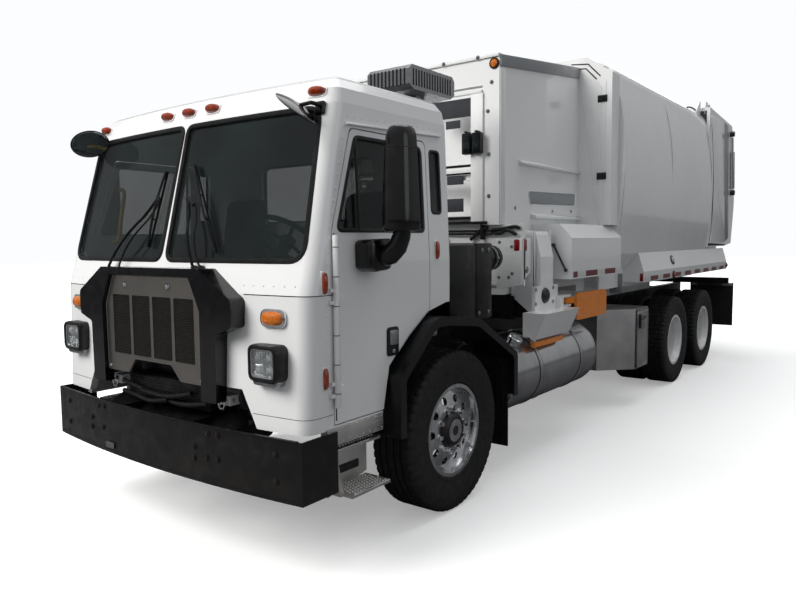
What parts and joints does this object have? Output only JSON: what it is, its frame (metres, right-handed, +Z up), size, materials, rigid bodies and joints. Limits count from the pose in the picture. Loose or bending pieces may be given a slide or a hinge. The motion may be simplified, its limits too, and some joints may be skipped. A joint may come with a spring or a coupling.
{
  "type": "garbage truck",
  "caption": "Side-loading garbage truck: tilting cab, steered front wheels, twin-tyred tandem axles, reach-and-lift bin arm, hopper, load body and lifting tailgate",
  "frame": {"origin": "centre of the bounding box at ground level", "axes": "X to the vehicle's left, Y rearward along the vehicle, Z up; the cab faces -Y"},
  "size_m": [2.9992, 9.5398, 3.6348],
  "materials": {
    "white_paint": "gloss",
    "grey_paint": "semi-gloss",
    "black_paint": "semi-gloss",
    "orange_paint": "gloss",
    "white_wheel_paint": "gloss",
    "polished_alloy": "polished",
    "stainless_steel": "brushed",
    "cast_iron": "matte",
    "black_plastic": "matte",
    "gloss_black_plastic": "gloss",
    "black_rubber": "matte",
    "tyre_rubber": "matte",
    "tinted_glass": "clear",
    "lamp_lens": "gloss",
    "seat_cloth": "woven",
    "dash_plastic": "matte"
  },
  "bodies": {
    "chassis": {"chassis_frame": "black_paint", "front_bumper": "black_paint", "cab_pivots": "white_paint", "radiator": "black_paint", "engine_block": "cast_iron", "front_axle": "black_paint", "rear_axles": "black_paint", "fuel_tank": "stainless_steel", "toolbox": "stainless_steel", "battery_box": "black_paint", "air_cleaner": "black_plastic", "exhaust_stack": "black_paint", "front_fenders": "black_plastic", "cab_steps": "stainless_steel", "mud_flaps": "black_rubber", "body_fenders": "white_paint", "hopper": "white_paint", "hopper_header": "white_paint", "hopper_bulkhead": "white_paint", "body_barrel": "white_paint", "side_boxes": "white_paint", "arm_rails": "black_paint"},
    "cab": {"cab_shell": "white_paint", "cab_roof": "white_paint", "cab_floor": "grey_paint", "cab_glass": "tinted_glass", "grille": "polished_alloy", "grille_surround": "gloss_black_plastic", "headlamps": "lamp_lens", "seat_cushions": "seat_cloth", "seat_backs": "seat_cloth", "dashboard": "dash_plastic"},
    "toolbox_door": {"toolbox_door": "stainless_steel"},
    "tailgate": {"tailgate": "white_paint"},
    "arm_carriage": {"arm_carriage": "white_paint"},
    "arm_boom": {"arm_boom": "white_paint"},
    "finger_rear": {"finger_rear": "orange_paint"},
    "finger_front": {"finger_front": "orange_paint"},
    "door_left": {"door_left": "white_paint", "door_glass_left": "tinted_glass", "mirror_left": "gloss_black_plastic"},
    "knuckle_left": {"knuckle_left": "cast_iron"},
    "wheel_front_left": {"wheel_front_left": "polished_alloy", "tyre_front_left": "tyre_rubber"},
    "wheel_rear_a_left": {"wheel_rear_a_left": "white_wheel_paint", "tyres_rear_a_left": "tyre_rubber"},
    "wheel_rear_b_left": {"wheel_rear_b_left": "white_wheel_paint", "tyres_rear_b_left": "tyre_rubber"},
    "door_right": {"door_right": "white_paint", "door_glass_right": "tinted_glass", "mirror_right": "gloss_black_plastic"},
    "knuckle_right": {"knuckle_right": "cast_iron"},
    "wheel_front_right": {"wheel_front_right": "polished_alloy", "tyre_front_right": "tyre_rubber"},
    "wheel_rear_a_right": {"wheel_rear_a_right": "white_wheel_paint", "tyres_rear_a_right": "tyre_rubber"},
    "wheel_rear_b_right": {"wheel_rear_b_right": "white_wheel_paint", "tyres_rear_b_right": "tyre_rubber"}
  },
  "joints": [
    {"name": "cab_tilt", "type": "hinge", "parent": "chassis", "child": "cab", "pos_m": [0, -4.54, 0.9], "axis": [1, 0, 0], "range_deg": [0, 45]},
    {"name": "tailgate_lift", "type": "hinge", "parent": "chassis", "child": "tailgate", "pos_m": [0, 3.062, 3.59], "axis": [1, 0, 0], "range_deg": [0, 85]},
    {"name": "arm_reach", "type": "slide", "parent": "chassis", "child": "arm_carriage", "axis": [1, 0, 0], "range_m": [0, 1.2]},
    {"name": "arm_lift", "type": "hinge", "parent": "arm_carriage", "child": "arm_boom", "pos_m": [1.02, -1.8, 1.78], "axis": [0, -1, 0], "range_deg": [0, 150]},
    {"name": "finger_rear_turn", "type": "hinge", "parent": "arm_boom", "child": "finger_rear", "pos_m": [1.118, -1.44, 1.236], "axis": [0, 0, -1], "range_deg": [0, 90]},
    {"name": "finger_front_turn", "type": "hinge", "parent": "arm_boom", "child": "finger_front", "pos_m": [1.16, -2.135, 0.944], "axis": [0, 0, -1], "range_deg": [0, 90]},
    {"name": "toolbox_door_drop", "type": "hinge", "parent": "chassis", "child": "toolbox_door", "pos_m": [1.204, 0.32, 0.41], "axis": [0, 1, 0], "range_deg": [0, 90]},
    {"name": "door_left_open", "type": "hinge", "parent": "cab", "child": "door_left", "pos_m": [1.186, -4.433, 1.24], "axis": [0, 0, -1], "range_deg": [0, 65]},
    {"name": "steer_left", "type": "hinge", "parent": "chassis", "child": "knuckle_left", "pos_m": [0.9, -3.29, 0.525], "axis": [0, 0, 1], "range_deg": [-35, 35]},
    {"name": "spin_front_left", "type": "hinge", "parent": "knuckle_left", "child": "wheel_front_left", "pos_m": [1.035, -3.29, 0.525], "axis": [1, 0, 0], "continuous": true},
    {"name": "spin_rear_a_left", "type": "hinge", "parent": "chassis", "child": "wheel_rear_a_left", "pos_m": [0.875, 1.684, 0.525], "axis": [1, 0, 0], "continuous": true},
    {"name": "spin_rear_b_left", "type": "hinge", "parent": "chassis", "child": "wheel_rear_b_left", "pos_m": [0.875, 3.018, 0.525], "axis": [1, 0, 0], "continuous": true},
    {"name": "door_right_open", "type": "hinge", "parent": "cab", "child": "door_right", "pos_m": [-1.186, -4.433, 1.24], "axis": [0, 0, 1], "range_deg": [0, 65]},
    {"name": "steer_right", "type": "hinge", "parent": "chassis", "child": "knuckle_right", "pos_m": [-0.9, -3.29, 0.525], "axis": [0, 0, 1], "range_deg": [-35, 35]},
    {"name": "spin_front_right", "type": "hinge", "parent": "knuckle_right", "child": "wheel_front_right", "pos_m": [-1.035, -3.29, 0.525], "axis": [1, 0, 0], "continuous": true},
    {"name": "spin_rear_a_right", "type": "hinge", "parent": "chassis", "child": "wheel_rear_a_right", "pos_m": [-0.875, 1.684, 0.525], "axis": [1, 0, 0], "continuous": true},
    {"name": "spin_rear_b_right", "type": "hinge", "parent": "chassis", "child": "wheel_rear_b_right", "pos_m": [-0.875, 3.018, 0.525], "axis": [1, 0, 0], "continuous": true}
  ],
  "couplings": [
    {"joint": "steer_right", "follows": "steer_left", "ratio": 1},
    {"joint": "finger_front_turn", "follows": "finger_rear_turn", "ratio": 1}
  ]
}
